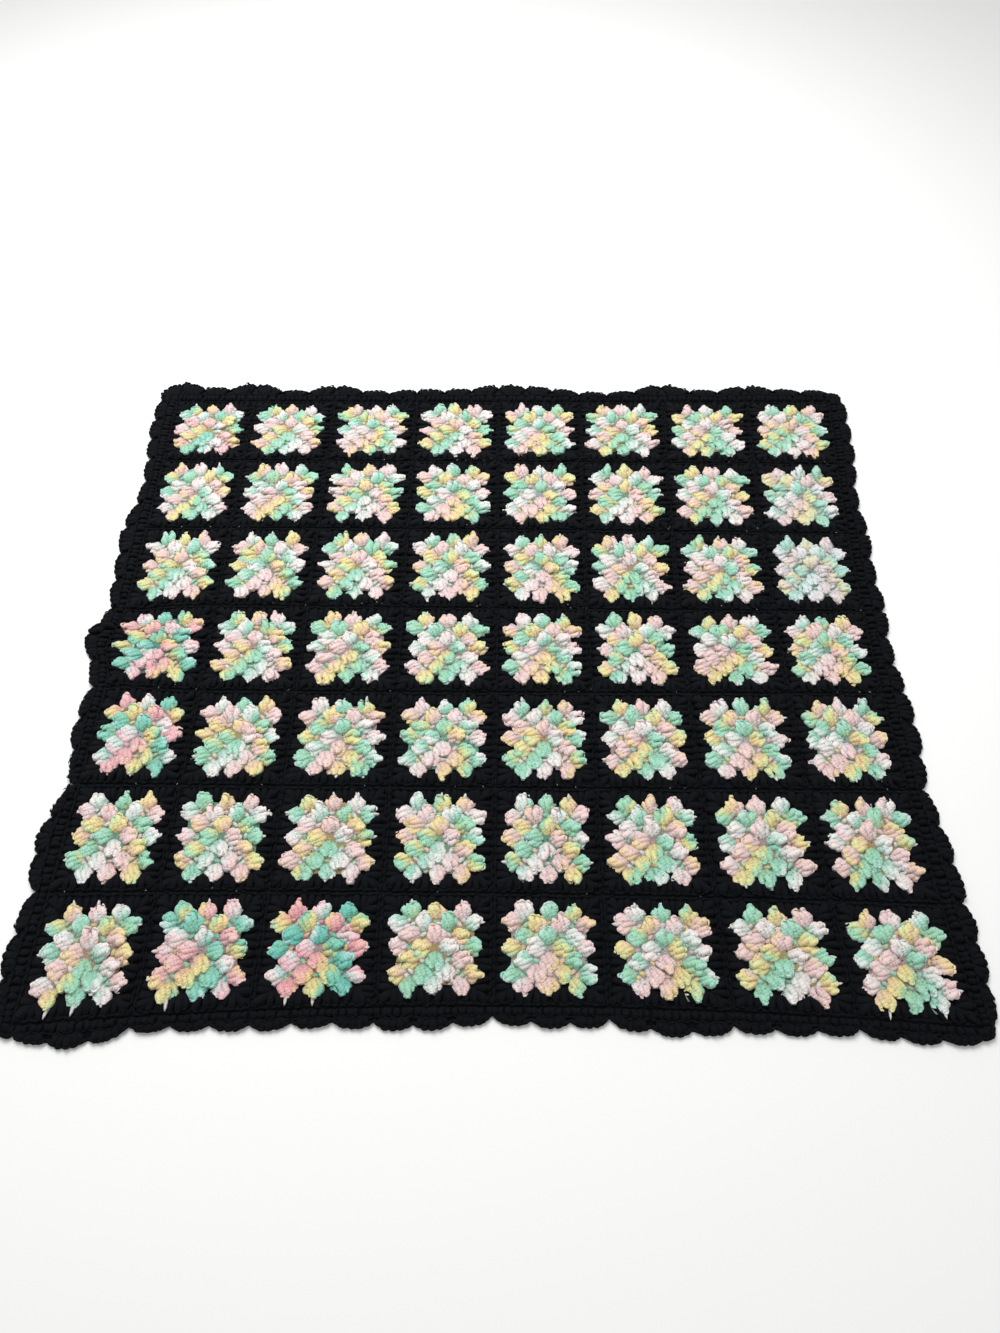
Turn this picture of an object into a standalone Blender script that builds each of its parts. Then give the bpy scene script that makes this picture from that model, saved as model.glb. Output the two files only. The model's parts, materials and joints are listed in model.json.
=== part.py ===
# Granny square blanket: 7 rows of 8 crocheted squares joined edge to edge, with a scalloped
# edging worked round them. It lies flat and a little uneven, as a blanket does when it is
# spread out by hand, with one small pleat in the edging at its left side.
# Metres, +Z up. +X runs to the right along the rows, +Y from the near edge to the far edge.
from collections import namedtuple
import math

import bmesh
import bpy
from mathutils import Vector

# The patchwork: row 1 is the far row, column 1 the left one
COLUMNS = 8
ROWS = 7
SQUARE_X = 0.1250
SQUARE_Y = 0.1295
GAP = 0.0003

# Heights of the crochet above the surface that it lies on
SEAM_HEIGHT = 0.0034
SHOULDER_HEIGHT = 0.0052
MEDALLION_HEIGHT = 0.0058
CENTRE_HEIGHT = 0.0050
SWELL = 0.0004
SWELL_LENGTH_X = 0.31
SWELL_LENGTH_Y = 0.27

# Where a square's top and sides are folded, as shares of its width: the shoulder beside
# the seam and the rim of the pastel medallion, whose corners are rounded
FACETS = (0.0, 0.06, 0.15, 0.5, 0.85, 0.94, 1.0)
MEDALLION_RING = 2
MEDALLION_CORNER = 0.19

# How far each seam lies off its neat place. Between columns, left to right: the seam's far
# end, middle and near end, to the right. Between rows, far to near: left end, middle, right
# end, away from the near edge. The first and last rows of each are the patchwork's edges.
Seam = namedtuple("Seam", "start middle end")
COLUMN_SEAMS = (
    Seam(start=0.002, middle=0.006, end=0.000),
    Seam(start=-0.003, middle=0.001, end=-0.001),
    Seam(start=-0.003, middle=-0.002, end=-0.002),
    Seam(start=-0.001, middle=0.000, end=0.003),
    Seam(start=0.002, middle=0.002, end=0.002),
    Seam(start=0.002, middle=-0.002, end=0.000),
    Seam(start=0.007, middle=-0.004, end=0.005),
    Seam(start=0.013, middle=-0.003, end=0.011),
    Seam(start=0.017, middle=-0.008, end=0.013),
)
ROW_SEAMS = (
    Seam(start=-0.006, middle=-0.004, end=0.001),
    Seam(start=0.001, middle=0.002, end=0.001),
    Seam(start=0.002, middle=0.003, end=-0.001),
    Seam(start=0.001, middle=-0.002, end=-0.003),
    Seam(start=0.000, middle=-0.001, end=0.002),
    Seam(start=0.000, middle=-0.001, end=-0.001),
    Seam(start=-0.002, middle=0.001, end=-0.008),
    Seam(start=-0.013, middle=0.010, end=-0.008),
)

# Places where the cloth is pulled out of line, here round the pleat: the place, how far it
# is moved to the right and away, and how far the pull reaches
Tug = namedtuple("Tug", "x y right away reach")
TUGS = (
    Tug(x=-0.462, y=-0.042, right=0.004, away=0.014, reach=0.028),
    Tug(x=-0.480, y=0.058, right=0.000, away=-0.010, reach=0.040),
    Tug(x=-0.500, y=0.000, right=-0.013, away=0.000, reach=0.034),
)

# The edging: how far it reaches past the squares at each seam along a side, and how much
# more or less it reaches half-way between two seams. Sides run left to right or far to near.
Side = namedtuple("Side", "seams puffs")
EDGING = {
    "far": Side(
        seams=(0.047, 0.045, 0.042, 0.031, 0.041, 0.026, 0.044, 0.040, 0.027),
        puffs=(-0.014, -0.017, -0.010, -0.005, 0.002, -0.010, -0.014, -0.004),
    ),
    "near": Side(
        seams=(0.014, 0.019, 0.024, 0.025, 0.019, 0.021, 0.024, 0.020, 0.019),
        puffs=(0.013, -0.002, -0.003, 0.004, 0.004, 0.007, 0.001, 0.004),
    ),
    "left": Side(
        seams=(0.032, 0.028, 0.038, 0.026, 0.023, 0.011, 0.024, 0.024),
        puffs=(0.003, -0.008, 0.000, 0.001, 0.010, 0.016, 0.007),
    ),
    "right": Side(
        seams=(0.025, 0.031, 0.033, 0.034, 0.035, 0.026, 0.033, 0.020),
        puffs=(0.001, -0.007, -0.004, -0.006, 0.004, 0.004, 0.004),
    ),
}

# Three shells of the edging to a square, and the folds that shape them. The folds hold
# those of the squares, so that both meet along the same straight facets. The outline
# draws in deepest at the seams, and by a share of that between a square's own shells.
SHELLS_PER_SQUARE = 3
SCALLOP_DEPTH = 0.0075
SHALLOW_SCALLOP = 0.6
SCALLOP_ROUNDNESS = 0.55
EDGING_STEPS = (0.0, 0.06, 0.15, 0.25, 1 / 3, 5 / 12, 0.5, 7 / 12, 2 / 3, 0.75, 0.85, 0.94)
CORNER_STEPS = 4
CORNER_CREST = 0.0035

# The edging's section, from its outer lip over the top to its underside: the share of the
# reach, the height, and how much of the ruffle's and the pleat's lift it takes
SectionPoint = namedtuple("SectionPoint", "share height lift")
SECTION = (
    SectionPoint(share=1.0, height=0.0022, lift=1.0),
    SectionPoint(share=0.62, height=0.0054, lift=1.0),
    SectionPoint(share=0.0, height=SEAM_HEIGHT, lift=0.4),
    SectionPoint(share=0.0, height=0.0, lift=0.0),
    SectionPoint(share=0.94, height=0.0, lift=0.0),
)
RUFFLE_LIFT = 0.0012
RUFFLE_LENGTH = 0.115

# The pleat: below this place on the left side, counted in squares from the far edge, the
# edging is folded over and juts out, and comes back in over the rest of the square
PLEAT_AT = 3.28
PLEAT_STEP = 0.004
PLEAT_JUT = 0.018
PLEAT_RETURN = 0.50
PLEAT_LIFT = 0.0050
PLEAT_LIFT_REACH = 0.028

PASTEL = (0.76, 0.72, 0.52, 1.0)
BLACK = (0.008, 0.008, 0.011, 1.0)
YARN_ROUGHNESS = 0.9


def clear_scene():
    for old in list(bpy.data.objects):
        bpy.data.objects.remove(old, do_unlink=True)


def yarn_material(name, colour):
    material = bpy.data.materials.new(name)
    material.use_nodes = True
    shader = material.node_tree.nodes["Principled BSDF"]
    shader.inputs["Base Color"].default_value = colour
    shader.inputs["Roughness"].default_value = YARN_ROUGHNESS
    shader.inputs["Metallic"].default_value = 0.0
    return material


def bowed(seam, share):
    """The shift at a share of a seam's length, on a curve through its ends and middle."""
    u = 2 * share - 1
    return seam.start * u * (u - 1) / 2 + seam.middle * (1 - u * u) + seam.end * u * (u + 1) / 2


def between_seams(lines, place):
    """Mixes the values of the seams on both sides of a place counted in squares."""
    first = min(max(int(place), 0), len(lines) - 2)
    share = place - first
    return lines[first] * (1 - share) + lines[first + 1] * share


def spread(across, down):
    """Where a point of the patchwork lies before the tugs. It is counted in squares from
    the far left corner, to the right and towards the near edge."""
    columns = [
        (index - COLUMNS / 2) * SQUARE_X + bowed(seam, down / ROWS)
        for index, seam in enumerate(COLUMN_SEAMS)
    ]
    rows = [
        (ROWS / 2 - index) * SQUARE_Y + bowed(seam, across / COLUMNS)
        for index, seam in enumerate(ROW_SEAMS)
    ]
    return Vector((between_seams(columns, across), between_seams(rows, down)))


def tugged(point):
    moved = point.copy()
    for tug in TUGS:
        distance = (point - Vector((tug.x, tug.y))).length
        pull = math.exp(-((distance / tug.reach) ** 2))
        moved += Vector((tug.right, tug.away)) * pull
    return moved


def laid(across, down):
    return tugged(spread(across, down))


def swell(point):
    wave_x = math.sin(2 * math.pi * point.x / SWELL_LENGTH_X)
    wave_y = math.cos(2 * math.pi * point.y / SWELL_LENGTH_Y)
    return SWELL * wave_x * wave_y


def pleat_lift(point):
    fold = laid(0, PLEAT_AT)
    distance = (point - fold).length
    return PLEAT_LIFT * math.exp(-((distance / PLEAT_LIFT_REACH) ** 2))


def square_height(ring, point):
    """The top's height at a ring of folds, counted from the seam inwards."""
    height = (SEAM_HEIGHT, SHOULDER_HEIGHT, MEDALLION_HEIGHT, CENTRE_HEIGHT)[ring]
    return height + pleat_lift(point) + (swell(point) if ring else 0.0)


def inset(share, size):
    """A share of a square's width, once half the gap to its neighbour is taken off."""
    margin = GAP / 2 / size
    return margin + share * (1 - 2 * margin)


def new_object(name, mesh, materials, collection, parent):
    for material in materials:
        mesh.materials.append(material)
    made = bpy.data.objects.new(name, mesh)
    made.parent = parent
    collection.objects.link(made)
    return made


def square_mesh(name, row, column, centre):
    """A grid laid between the four seams, drawn down to the floor at its rim and closed."""
    steps = len(FACETS) - 1
    bm = bmesh.new()
    bmesh.ops.create_grid(bm, x_segments=steps, y_segments=steps, size=0.5)
    rings = {}
    for vert in bm.verts:
        i = round((vert.co.x + 0.5) * steps)
        j = round((0.5 - vert.co.y) * steps)
        ring = min(i, j, steps - i, steps - j)
        shares = [FACETS[i], FACETS[j]]
        if ring == MEDALLION_RING and i in (ring, steps - ring) and j in (ring, steps - ring):
            shares = [MEDALLION_CORNER if share < 0.5 else 1 - MEDALLION_CORNER for share in shares]
        point = laid(column + inset(shares[0], SQUARE_X), row + inset(shares[1], SQUARE_Y))
        rings[vert] = ring
        vert.co = (*(point - centre), square_height(ring, point))
    for face in bm.faces:
        face.material_index = 0 if min(rings[vert] for vert in face.verts) >= MEDALLION_RING else 1
    rim = [edge for edge in bm.edges if edge.is_boundary]
    drawn = bmesh.ops.extrude_edge_only(bm, edges=rim)["geom"]
    for vert in drawn:
        if isinstance(vert, bmesh.types.BMVert):
            vert.co.z = 0.0
    bmesh.ops.holes_fill(bm, edges=[edge for edge in bm.edges if edge.is_boundary], sides=0)
    for face in bm.faces:
        if all(vert.co.z < SEAM_HEIGHT + SWELL for vert in face.verts):
            face.material_index = 1
    bmesh.ops.recalc_face_normals(bm, faces=bm.faces)
    mesh = bpy.data.meshes.new(name)
    bm.to_mesh(mesh)
    bm.free()
    return mesh


def add_squares(pastel, black, collection, parent):
    for row in range(ROWS):
        for column in range(COLUMNS):
            name = f"square_r{row + 1}c{column + 1}"
            centre = laid(column + 0.5, row + 0.5)
            mesh = square_mesh(name, row, column, centre)
            square = new_object(name, mesh, (pastel, black), collection, parent)
            square.location = (centre.x, centre.y, 0.0)


def side_reach(side, place):
    """How far the edging reaches past the squares at a place along a side, at a crest."""
    square = min(int(place), len(side.puffs) - 1)
    puff = side.puffs[square] * abs(math.sin(math.pi * place))
    return between_seams(side.seams, place) + puff


def scallop(place):
    """How far the outline draws in between two shells."""
    crest = abs(math.sin(math.pi * SHELLS_PER_SQUARE * place)) ** SCALLOP_ROUNDNESS
    at_seam = math.cos(math.pi * place) ** 2
    depth = SCALLOP_DEPTH * (SHALLOW_SCALLOP + (1 - SHALLOW_SCALLOP) * at_seam)
    return depth * (1 - crest)


def pleat_jut(place):
    if place < PLEAT_AT:
        return 0.0
    share = min((place - PLEAT_AT) / PLEAT_RETURN, 1.0)
    return PLEAT_JUT * (0.5 + 0.5 * math.cos(math.pi * share))


def facets_beside(place, squares):
    """The folds of the squares before and after a place along a side, and the share
    of the way between them."""
    square = min(int(place), squares - 1)
    share = place - square
    after = next(fold for fold in FACETS[1:] if fold >= share - 1e-6)
    before = max(fold for fold in FACETS if fold < after)
    return square + before, square + after, (share - before) / (after - before)


def side_places(squares, extra=()):
    places = [square + step for square in range(squares) for step in EDGING_STEPS]
    return sorted([*places, squares, *extra])


def side_stations(name, places, edge_point, outward):
    """The edging's sections along one side: the inner point on the squares' facets and the
    outer point at the scalloped outline."""
    side = EDGING[name]
    squares = len(side.puffs)
    stations = []
    for place in places:
        before, after, share = facets_beside(place, squares)
        inner = tugged(edge_point(before)).lerp(tugged(edge_point(after)), share)
        reach = side_reach(side, place) - scallop(place)
        if name == "left":
            reach += pleat_jut(place)
        outer = tugged(edge_point(place) + Vector(outward) * reach)
        stations.append((inner, outer))
    return stations


def corner_stations(corner, start, end):
    """The sections that fan out round a corner, with one shell at its middle. They lie
    between the last outer point of one side and the first of the next."""
    stations = []
    for step in range(1, CORNER_STEPS):
        share = step / CORNER_STEPS
        turn = (start - corner).slerp(end - corner, share)
        reach = (start - corner).length * (1 - share) + (end - corner).length * share
        crest = CORNER_CREST * math.sin(math.pi * share) ** SCALLOP_ROUNDNESS
        stations.append((corner, corner + turn.normalized() * (reach + crest)))
    return stations


def edging_stations():
    """All sections of the edging, anticlockwise from the near left corner."""
    margin_x = GAP / 2 / SQUARE_X
    margin_y = GAP / 2 / SQUARE_Y

    def on_near(place):
        return spread(place, ROWS + margin_y)

    def on_far(place):
        return spread(place, -margin_y)

    def on_left(place):
        return spread(-margin_x, place)

    def on_right(place):
        return spread(COLUMNS + margin_x, place)

    fold = (PLEAT_AT - PLEAT_STEP, PLEAT_AT + PLEAT_STEP)
    across = side_places(COLUMNS)
    down = side_places(ROWS)
    sides = [
        side_stations("near", across, on_near, (0, -1)),
        side_stations("right", down[::-1], on_right, (1, 0)),
        side_stations("far", across[::-1], on_far, (0, 1)),
        side_stations("left", side_places(ROWS, fold), on_left, (-1, 0)),
    ]
    stations = []
    for index, side in enumerate(sides):
        following = sides[(index + 1) % len(sides)]
        corner = (side[-1][0] + following[0][0]) / 2
        side[-1] = (corner, side[-1][1])
        following[0] = (corner, following[0][1])
        stations += side
        stations += corner_stations(corner, side[-1][1], following[0][1])
    return stations


def edging_mesh():
    """A grid rolled up into a ring, with one section for each station. The rim's points
    meet those of the other side, and the sections at a corner meet in one point, so they
    are merged."""
    stations = edging_stations()
    around, through = len(stations), len(SECTION)
    lifts = []
    travelled = 0.0
    for index, (inner, outer) in enumerate(stations):
        travelled += (outer - stations[index - 1][1]).length
        lifts.append(RUFFLE_LIFT * (0.5 + 0.5 * math.sin(2 * math.pi * travelled / RUFFLE_LENGTH)))
    bm = bmesh.new()
    bmesh.ops.create_grid(bm, x_segments=around, y_segments=through, size=0.5)
    for vert in bm.verts:
        index = round((vert.co.x + 0.5) * around) % around
        section = SECTION[round((vert.co.y + 0.5) * through) % through]
        inner, outer = stations[index]
        point = inner.lerp(outer, section.share)
        lift = lifts[index] * section.share + pleat_lift(point)
        vert.co = (*point, section.height + section.lift * lift)
    bmesh.ops.remove_doubles(bm, verts=bm.verts, dist=GAP / 10)
    bmesh.ops.recalc_face_normals(bm, faces=bm.faces)
    mesh = bpy.data.meshes.new("edging")
    bm.to_mesh(mesh)
    bm.free()
    return mesh


def centre_on_origin(parent, pieces):
    """Moves the blanket so that the middle of its outline is over the origin."""
    corners = [piece.matrix_world @ Vector(corner) for piece in pieces for corner in piece.bound_box]
    for axis in (0, 1):
        values = [corner[axis] for corner in corners]
        parent.location[axis] = -(min(values) + max(values)) / 2


def main():
    clear_scene()
    collection = bpy.data.collections.new("granny_square_blanket")
    bpy.context.scene.collection.children.link(collection)
    parent = bpy.data.objects.new("blanket", None)
    collection.objects.link(parent)
    pastel = yarn_material("pastel_yarn", PASTEL)
    black = yarn_material("black_yarn", BLACK)
    add_squares(pastel, black, collection, parent)
    edging = new_object("edging", edging_mesh(), (black,), collection, parent)
    bpy.context.view_layer.update()
    centre_on_origin(parent, [edging])


main()
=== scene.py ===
# Granny square blanket in variegated pastel and black yarn, spread out on a pale floor.
# Every stitch is an instance of a few small shapes, set out on the squares of the frame.
import json
import math
import random

import bmesh
import bpy
from mathutils import Matrix, Vector
from mathutils.bvhtree import BVHTree

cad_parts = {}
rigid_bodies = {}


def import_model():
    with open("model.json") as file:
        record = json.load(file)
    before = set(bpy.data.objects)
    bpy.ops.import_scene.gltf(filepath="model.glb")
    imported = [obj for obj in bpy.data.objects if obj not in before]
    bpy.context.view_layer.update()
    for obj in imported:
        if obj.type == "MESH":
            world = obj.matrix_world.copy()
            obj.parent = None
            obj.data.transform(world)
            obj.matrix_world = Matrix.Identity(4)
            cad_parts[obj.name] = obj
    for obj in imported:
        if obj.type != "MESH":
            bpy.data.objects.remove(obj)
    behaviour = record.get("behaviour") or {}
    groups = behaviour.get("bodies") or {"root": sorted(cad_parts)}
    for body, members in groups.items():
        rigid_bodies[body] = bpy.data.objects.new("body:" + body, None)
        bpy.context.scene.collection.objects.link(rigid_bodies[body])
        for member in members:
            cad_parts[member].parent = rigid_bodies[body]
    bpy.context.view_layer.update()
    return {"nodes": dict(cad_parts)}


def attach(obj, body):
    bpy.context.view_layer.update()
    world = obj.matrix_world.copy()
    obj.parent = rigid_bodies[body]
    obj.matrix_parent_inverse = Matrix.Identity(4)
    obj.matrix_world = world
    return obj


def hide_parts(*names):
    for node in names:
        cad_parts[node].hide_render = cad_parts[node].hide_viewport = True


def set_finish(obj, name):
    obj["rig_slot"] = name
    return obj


for leftOver in list(bpy.data.objects):
    bpy.data.objects.remove(leftOver, do_unlink=True)

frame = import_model()
cadNodes = frame["nodes"]
print("frame loaded:", len(cadNodes), "nodes")


# camera, floor and light
camera = {
    "place": (0.0081, -0.6193, 1.0065),
    "belowHorizon": 59.48,
    "turn": 0.23,
    "roll": 0.19,
    "lens": 24.46,
    "sensor": 36.0,
    "clipStart": 0.02,
}
studio = {
    "floorColour": (0.91, 0.91, 0.90, 1.0),
    "floorRoughness": 0.7,
    "floorSize": 14.0,
    "floorDrop": 0.0002,
    "skyStrength": 0.50,
    "keyPower": 39.0,
    "keyPlace": (-0.4, 0.9, 1.7),
    "keySize": 1.6,
    "fillPower": 4.0,
    "fillPlace": (1.2, -1.3, 1.9),
    "fillSize": 1.8,
}


def placed(name, data):
    made = bpy.data.objects.new(name, data)
    bpy.context.scene.collection.objects.link(made)
    return made


def aimed(thing, place, target):
    thing.location = place
    thing.rotation_euler = (Vector(target) - Vector(place)).to_track_quat("-Z", "Y").to_euler()


def makeCamera(sizes):
    tilt = math.radians(sizes["belowHorizon"])
    turn = Matrix.Rotation(math.radians(sizes["turn"]), 3, "Z")
    right = turn @ Vector((1, 0, 0))
    ahead = turn @ Vector((0, math.cos(tilt), -math.sin(tilt)))
    up = turn @ Vector((0, math.sin(tilt), math.cos(tilt)))
    roll = math.radians(sizes["roll"])
    rolledRight = right * math.cos(roll) + up * math.sin(roll)
    rolledUp = up * math.cos(roll) - right * math.sin(roll)
    view = Matrix((rolledRight, rolledUp, -ahead)).transposed().to_4x4()
    view.translation = Vector(sizes["place"])
    data = bpy.data.cameras.new("photoCamera")
    data.sensor_fit = "VERTICAL"
    data.sensor_height = sizes["sensor"]
    data.sensor_width = sizes["sensor"]
    data.lens = sizes["lens"]
    data.clip_start = sizes["clipStart"]
    made = placed("photoCamera", data)
    made.matrix_world = view
    bpy.context.scene.camera = made


def makeAreaLight(name, power, place, size):
    data = bpy.data.lights.new(name, "AREA")
    data.shape = "DISK"
    data.size = size
    data.energy = power
    aimed(placed(name, data), place, (0, 0, 0))


def makeStudio(sizes):
    bpy.ops.mesh.primitive_plane_add(size=sizes["floorSize"], location=(0, 0, -sizes["floorDrop"]))
    floor = bpy.context.object
    floor.name = "paleFloor"
    paint = bpy.data.materials.new("paleFloor")
    paint.use_nodes = True
    shader = paint.node_tree.nodes["Principled BSDF"]
    shader.inputs["Base Color"].default_value = sizes["floorColour"]
    shader.inputs["Roughness"].default_value = sizes["floorRoughness"]
    floor.data.materials.append(paint)
    world = bpy.data.worlds.new("softSky")
    world.use_nodes = True
    sky = world.node_tree.nodes["Background"]
    sky.inputs["Color"].default_value = (1.0, 1.0, 1.0, 1.0)
    sky.inputs["Strength"].default_value = sizes["skyStrength"]
    bpy.context.scene.world = world
    makeAreaLight("keyLight", sizes["keyPower"], sizes["keyPlace"], sizes["keySize"])
    makeAreaLight("fillLight", sizes["fillPower"], sizes["fillPlace"], sizes["fillSize"])
    bpy.context.scene.view_settings.view_transform = "Standard"


makeCamera(camera)
makeStudio(studio)
print("camera and studio ready")


# how the squares lie
patchwork = {
    "rows": 7,
    "columns": 8,
    "designSide": 0.125,  # a square's side in the crochet pattern below
    "nearGround": 0.0003,
    "lots": {  # squares of a brighter lot of yarn, and below nought of a paler, bluer one
        (1, 1): 0.3,
        (4, 1): 0.6,
        (5, 1): 0.6,
        (7, 2): 0.5,
        (7, 3): 0.9,
        (2, 8): -0.5,
        (3, 8): -1.0,
    },
}
halfSide = patchwork["designSide"] / 2
sideDirections = (  # along the side anticlockwise, and outwards
    ((1, 0), (0, -1)),
    ((0, 1), (1, 0)),
    ((-1, 0), (0, 1)),
    ((0, -1), (-1, 0)),
)


def squareName(row, column):
    return f"square_r{row}c{column}"


def footprint(node):
    # outline of a CAD square on the ground: low corners of its upright faces, anticlockwise
    mesh = node.data
    found = {}
    for face in mesh.polygons:
        if abs(face.normal.z) > 0.5:
            continue
        for index in face.vertices:
            point = mesh.vertices[index].co
            if point.z < patchwork["nearGround"]:
                found[(round(point.x, 5), round(point.y, 5))] = Vector((point.x, point.y))
    points = list(found.values())
    middle = sum(points, Vector((0, 0))) / len(points)
    points.sort(key=lambda p: math.atan2(p.y - middle.y, p.x - middle.x))
    return points, middle


class LaidSquare:
    # maps a neat square of the pattern, centred on nought, onto the square as it lies
    def __init__(self, node):
        points, middle = footprint(node)
        corners = []
        for signX, signY in ((-1, -1), (1, -1), (1, 1), (-1, 1)):
            reach = [signX * (p.x - middle.x) + signY * (p.y - middle.y) for p in points]
            corners.append(reach.index(max(reach)))
        self.sides = []
        for index in range(4):
            first = corners[index]
            last = corners[(index + 1) % 4]
            count = (last - first) % len(points)
            run = [points[(first + step) % len(points)] for step in range(count + 1)]
            self.sides.append(self.measured(run))
        self.corners = [points[index] for index in corners]

    def measured(self, run):
        lengths = [0.0]
        for before, after in zip(run, run[1:]):
            lengths.append(lengths[-1] + (after - before).length)
        return [(length / lengths[-1], point) for length, point in zip(lengths, run)]

    def onSide(self, index, share):
        run = self.sides[index]
        share = min(max(share, 0.0), 1.0)
        for (lowShare, low), (highShare, high) in zip(run, run[1:]):
            if share <= highShare:
                break
        return low.lerp(high, (share - lowShare) / (highShare - lowShare))

    def at(self, x, y):
        u = 0.5 + x / patchwork["designSide"]
        v = 0.5 + y / patchwork["designSide"]
        south = self.onSide(0, u)
        east = self.onSide(1, v)
        north = self.onSide(2, 1 - u)
        west = self.onSide(3, 1 - v)
        flat = south * (1 - v) + north * v + west * (1 - u) + east * u
        weights = ((1 - u) * (1 - v), u * (1 - v), u * v, (1 - u) * v)
        for weight, corner in zip(weights, self.corners):
            flat = flat - corner * weight
        return flat

    def onPattern(self, side, along, out):
        # a point given along one side of the pattern and outwards from the middle
        (alongX, alongY), (outX, outY) = sideDirections[side]
        return self.at(alongX * along + outX * out, alongY * along + outY * out)


def surfaceOf(objects):
    corners = []
    faces = []
    for thing in objects:
        base = len(corners)
        corners.extend(vertex.co.copy() for vertex in thing.data.vertices)
        faces.extend([base + index for index in face.vertices] for face in thing.data.polygons)
    return BVHTree.FromPolygons(corners, faces)


laidSquares = {}
for rowNumber in range(1, patchwork["rows"] + 1):
    for columnNumber in range(1, patchwork["columns"] + 1):
        laidSquares[(rowNumber, columnNumber)] = LaidSquare(cadNodes[squareName(rowNumber, columnNumber)])
wholeSurface = surfaceOf(cadNodes.values())
edgingSurface = surfaceOf([cadNodes["edging"]])


def topAt(point, missing=0.0034):
    hit = wholeSurface.ray_cast(Vector((point.x, point.y, 0.1)), Vector((0, 0, -1)))[0]
    return hit.z if hit else missing


print("squares measured:", len(laidSquares))


# the stitch shapes
trebleShape = {  # a pastel post: two strands laid round each other, its length is 1
    "sides": 4,
    "stations": (0.0, 0.12, 0.30, 0.50, 0.70, 0.87, 1.0),
    "halfWidths": (0.20, 0.29, 0.33, 0.37, 0.36, 0.34, 0.24),  # of one strand
    "halfHeights": (0.24, 0.33, 0.38, 0.42, 0.40, 0.36, 0.24),
    "apart": (0.08, 0.13, 0.16, 0.17, 0.16, 0.13, 0.08),  # of a strand from the post's middle
    "rise": (-0.06, 0.05, 0.15, 0.20, 0.19, 0.11, -0.06),
    "turns": 0.80,
    "startTurns": (0.48, 0.70),
    "sideways": (-0.16, 0.0, 0.16),  # bow of the three kinds of post
    "loopReach": 0.32,
    "loopSides": 4,
    "loopRadius": 0.17,
    "plies": 3.4,
}
blackTreble = {  # a plainer post, whose strands don't show
    "sides": 4,
    "stations": (0.0, 0.25, 0.50, 0.76, 0.97),
    "halfWidths": (0.36, 0.48, 0.55, 0.51, 0.24),
    "halfHeights": (0.34, 0.46, 0.55, 0.49, 0.22),
    "rise": (0.0, 0.10, 0.20, 0.13, -0.06),
    "sideways": (-0.26, 0.0, 0.26),
    "loopReach": 0.40,
    "loopSides": 3,
    "loopRadius": 0.17,
    "plies": 3.4,
}
topLoop = {  # the loop that lies across the head of every post
    "ends": (0.84, 0.26),  # along the post and above it
    "middle": (0.97, 0.37),
    "bend": 0.4,  # share of the loop's reach at which it turns down
    "endThickness": 0.6,
    "flatness": 0.38,
    "plies": 0.4,
}
linkShape = {
    "sides": 4,
    "stations": (0.0, 0.35, 0.75, 1.0),
    "halfWidths": (0.24, 0.50, 0.36, 0.07),
    "halfHeights": (0.24, 0.50, 0.42, 0.12),
    "plies": 1.6,
}


def joinRings(mesh, uvLayer, rings, lengths):
    # the yarn's wall between its rings, with the place around and along it as UV
    sides = len(rings[0])
    for level, (low, high) in enumerate(zip(rings, rings[1:])):
        for step in range(sides):
            after = (step + 1) % sides
            face = mesh.faces.new((low[step], high[step], high[after], low[after]))
            face.smooth = True
            spots = ((step, level), (step, level + 1), (step + 1, level + 1), (step + 1, level))
            for loop, (around, station) in zip(face.loops, spots):
                loop[uvLayer].uv = (around / sides, lengths[station])


def addTube(mesh, uvLayer, alongLayer, centres, sizes):
    rings = []
    sides = sizes["sides"]
    plies = sizes["plies"]
    sections = zip(centres, sizes["halfWidths"], sizes["halfHeights"], sizes["stations"])
    for centre, width, height, share in sections:
        ring = []
        for step in range(sides):
            angle = 2 * math.pi * (step + 0.25) / sides
            point = mesh.verts.new(centre + Vector((math.cos(angle) * width, 0, math.sin(angle) * height)))
            point[alongLayer] = share
            ring.append(point)
        rings.append(ring)
    joinRings(mesh, uvLayer, rings, [share * plies for share in sizes["stations"]])
    for ring in (rings[0], list(reversed(rings[-1]))):
        cap = mesh.faces.new(ring)
        cap.smooth = True
        for loop in cap.loops:
            loop[uvLayer].uv = (0.5, loop.vert[alongLayer] * plies)


def makeShape(name, build):
    mesh = bmesh.new()
    uvLayer = mesh.loops.layers.uv.new("yarnUV")
    alongLayer = mesh.verts.layers.float.new("along")
    build(mesh, uvLayer, alongLayer)
    bmesh.ops.recalc_face_normals(mesh, faces=mesh.faces)
    data = bpy.data.meshes.new(name)
    mesh.to_mesh(data)
    mesh.free()
    return bpy.data.objects.new(name, data)


def buildTreble(sizes, bend, startTurn=None):
    # one thick strand, or two that are laid round each other from a start turn
    def build(mesh, uvLayer, alongLayer):
        for strand in (0,) if startTurn is None else (0, 1):
            centres = []
            for number, (station, rise) in enumerate(zip(sizes["stations"], sizes["rise"])):
                middle = Vector((bend * math.sin(math.pi * station), station, rise))
                if startTurn is not None:
                    angle = 2 * math.pi * (startTurn + strand / 2 + sizes["turns"] * station)
                    middle += Vector((math.cos(angle), 0, math.sin(angle))) * sizes["apart"][number]
                centres.append(middle)
            addTube(mesh, uvLayer, alongLayer, centres, sizes)
        addTopLoop(mesh, uvLayer, alongLayer, sizes)

    return build


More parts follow.
